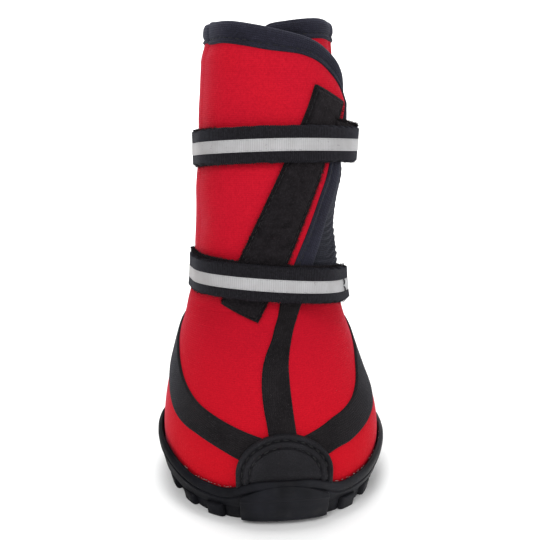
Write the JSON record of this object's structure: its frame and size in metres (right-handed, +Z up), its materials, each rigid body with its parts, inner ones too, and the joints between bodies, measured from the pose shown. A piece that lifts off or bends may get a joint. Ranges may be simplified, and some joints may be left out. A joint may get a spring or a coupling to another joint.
{
  "type": "dog bootie",
  "caption": "Tall neoprene dog boot with a wrap-over shaft, two reflective hook-and-loop straps, a toe cap and a lugged rubber cup sole",
  "frame": {"origin": "on the floor, at the middle of the object's outline from above, under the sole", "axes": "+Z up the leg, -Y to the toe, +X to the side where the outer flap's free edge lies"},
  "size_m": [0.0906, 0.0963, 0.1771],
  "materials": {
    "sole_rubber": "matt black moulded rubber",
    "insole_foam": "dark cloth-faced foam",
    "neoprene": "red jersey-faced neoprene",
    "cap_leather": "matt black grained synthetic leather",
    "loop_pile": "black brushed loop pile",
    "webbing": "ribbed black webbing",
    "reflective": "silver grey reflective tape",
    "binding": "black knitted stretch binding"
  },
  "bodies": {
    "root": {"outsole": "sole_rubber", "insole": "insole_foam", "upper": "neoprene", "toe_cap": "cap_leather", "loop_tape": "loop_pile", "strap_upper": "webbing", "strap_lower": "webbing"}
  },
  "joints": []
}
